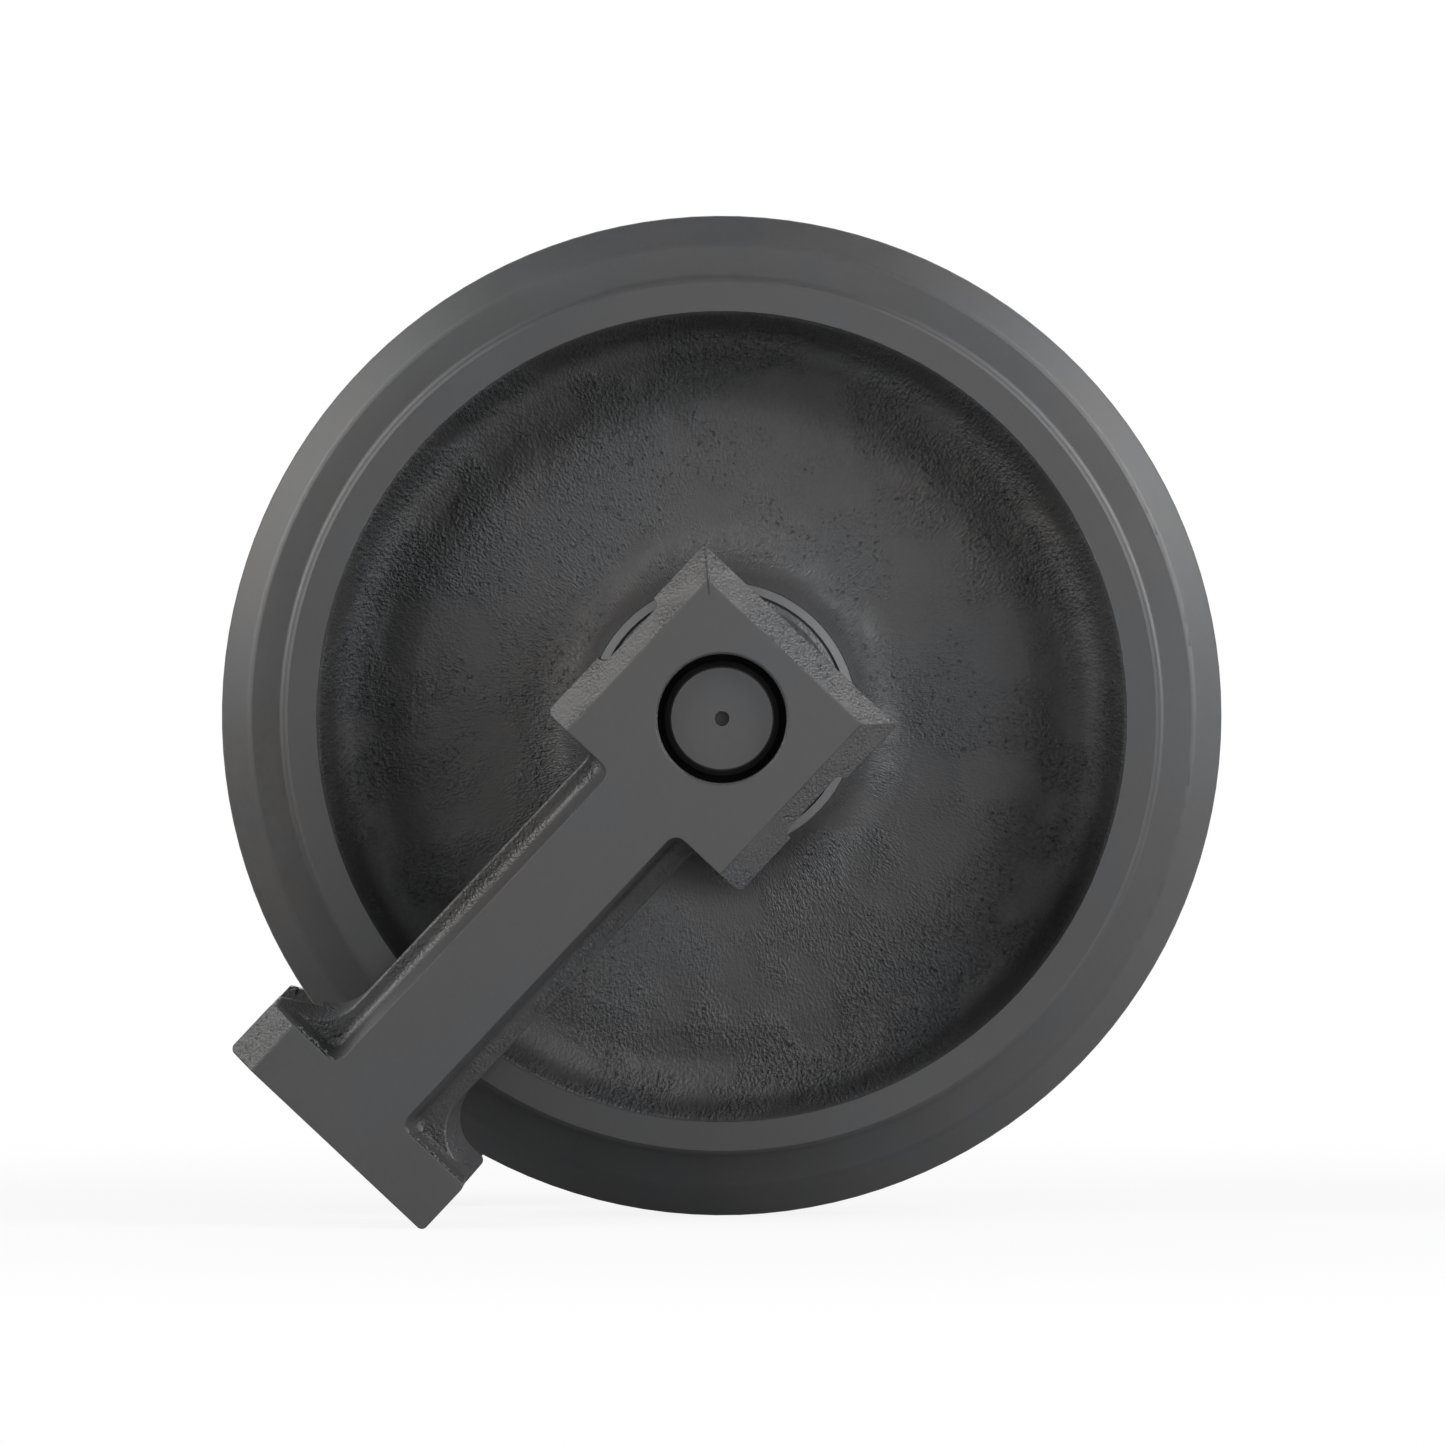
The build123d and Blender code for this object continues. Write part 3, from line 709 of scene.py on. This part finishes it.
# Lumps on the wheel's web, each by its angle in degrees and its radius in mm
lump_places = ((53, 134), (24, 133), (-8, 128), (171, 102), (178, 131), (-36, 135), (-42, 128), (133, 126))
web_lumps = [on_web(radians(turn), radius * MM) for turn, radius in lump_places]
lump_tree = crumb_tree.copy()
lump_tree.name = "web_lumps"
for node in lump_tree.nodes:
    if node.bl_idname == "GeometryNodeSetMaterial":
        node.inputs["Material"].default_value = wheel_paint
make_crumbs("web_lumps", web_lumps, lump_tree, "wheel", Crumb_Size=1.3 * MM, Seed=5)


def make_floor():
    """Plain pale floor: it keeps the shadow near the idler and runs out to white"""
    made, tree, shader = start_material("studio_floor")
    place = tree.nodes.new("ShaderNodeTexCoord").outputs["Object"]
    distance = place_node(tree, "ShaderNodeVectorMath", {0: place}, operation="LENGTH").outputs["Value"]
    parts = apart(tree, place)
    rays = tree.nodes.new("ShaderNodeLightPath").outputs
    mirrored = reckon(tree, "MAXIMUM", rays["Is Glossy Ray"], rays["Is Transmission Ray"])
    # Seen by the camera it is nearly white near the idler, and white further out
    seen = mixed(tree, ramp_between(tree, distance, 0.3, 0.75), floor_near_share, 1.0)
    seen = reckon(tree, "MULTIPLY", rays["Is Camera Ray"], seen)
    # Mirrored in the paint it is white, but dimmer in front of the idler on its left, as painted shade
    near = mixed(tree, ramp_between(tree, parts["X"], -0.05, 0.35), floor_left_glow, 1.0)
    strength = mixed(tree, ramp_between(tree, parts["Y"], -0.05, 0.25), near, 1.0)
    strength = mixed(tree, mirrored, 1.0, strength)
    glow = place_node(tree, "ShaderNodeEmission", {"Color": (1, 1, 1, 1), "Strength": strength})
    matt = place_node(tree, "ShaderNodeBsdfDiffuse", {"Color": floor_colour})
    glowing = reckon(tree, "MAXIMUM", seen, mirrored)
    mix = place_node(tree, "ShaderNodeMixShader", {0: glowing, 1: matt.outputs[0], 2: glow.outputs[0]})
    tree.nodes.remove(shader)
    tree.links.new(mix.outputs[0], tree.nodes["Material Output"].inputs["Surface"])
    half = 9.0
    mesh = bpy.data.meshes.new("studio_floor")
    corners = [(-half, -half, 0), (half, -half, 0), (half, half, 0), (-half, half, 0)]
    mesh.from_pydata(corners, [], [(0, 1, 2, 3)])
    mesh.materials.append(made)
    floor = bpy.data.objects.new("studio_floor", mesh)
    floor.location.z = floor_level
    bpy.context.scene.collection.objects.link(floor)


def make_world():
    """White behind the idler, and a dimmer room on the camera's side"""
    world = bpy.data.worlds.new("studio")
    bpy.context.scene.world = world
    world.use_nodes = True
    tree = world.node_tree
    backdrop = tree.nodes["Background"]
    way = apart(tree, tree.nodes.new("ShaderNodeTexCoord").outputs["Generated"])
    behind = ramp_between(tree, way["Y"], -0.05, 0.35)
    rays = tree.nodes.new("ShaderNodeLightPath").outputs
    mirrored = reckon(tree, "MAXIMUM", rays["Is Glossy Ray"], rays["Is Transmission Ray"])
    strength = mixed(tree, mirrored, room_strength, mixed(tree, behind, room_strength, 1.0))
    strength = mixed(tree, rays["Is Camera Ray"], strength, 1.0)
    tree.links.new(strength, backdrop.inputs["Strength"])
    backdrop.inputs["Color"].default_value = (1, 1, 1, 1)


def make_softbox(name, off_axis, turn, distance, width, height, radiance, colour):
    """Area lamp aimed at the wheel: its angles from the camera's side and round the axle"""
    lamp = bpy.data.lights.new(name, "AREA")
    lamp.shape = "RECTANGLE"
    lamp.size, lamp.size_y = width, height
    lamp.color = colour
    lamp.energy = radiance * pi * width * height
    holder = bpy.data.objects.new(name, lamp)
    bpy.context.scene.collection.objects.link(holder)
    away = Vector((sin(off_axis) * cos(turn), -cos(off_axis), sin(off_axis) * sin(turn)))
    holder.location = away * distance
    holder.rotation_mode = "QUATERNION"
    holder.rotation_quaternion = away.to_track_quat("Z", "Y")
    holder.visible_camera = False


def make_camera():
    """Camera at the photo's place, aimed so that the wheel falls where the photo has it"""
    data = bpy.data.cameras.new("photo_camera")
    data.lens = camera_lens
    data.sensor_width = sensor_side
    data.clip_start, data.clip_end = 0.1, 100
    camera = bpy.data.objects.new("photo_camera", data)
    bpy.context.scene.collection.objects.link(camera)
    camera.location = camera_place
    aim = Vector((middle_right * photo_pixel, 0, -middle_below * photo_pixel))
    camera.rotation_mode = "QUATERNION"
    camera.rotation_quaternion = (aim - camera_place).to_track_quat("-Z", "Y")
    bpy.context.scene.camera = camera


# Softboxes of the studio: name, angles in degrees from the camera's side and
# round the axle, distance, width and height in metres, radiance, colour
softboxes = (
    ("front_box", 7, -30, 3.2, 1.6, 1.45, 3.1, (1.0, 1.0, 1.0)),
    ("overhead_box", 33, 90, 2.8, 3.8, 0.6, 1.8, (1.0, 1.0, 1.0)),
    ("near_right_box", 31, 4, 2.9, 0.9, 0.9, 1.9, (1.0, 1.0, 1.0)),
    ("right_box", 65, 24, 2.6, 0.95, 1.9, 12.2, (0.97, 0.985, 1.0)),
    ("left_box", 65, 154, 2.6, 0.95, 1.8, 10.4, (1.0, 0.99, 0.965)),
    ("upper_right_box", 88, 40, 2.6, 1.6, 2.4, 1.7, (1.0, 1.0, 1.0)),
    ("upper_left_box", 88, 150, 2.6, 1.6, 2.4, 1.5, (1.0, 1.0, 1.0)),
    ("rear_box", 145, 90, 3.0, 2.6, 2.0, 1.8, (1.0, 1.0, 1.0)),
)
make_floor()
make_world()
for name, off_axis, turn, *shape in softboxes:
    make_softbox(name, radians(off_axis), radians(turn), *shape)
make_camera()
bpy.context.scene.view_settings.view_transform = "Standard"
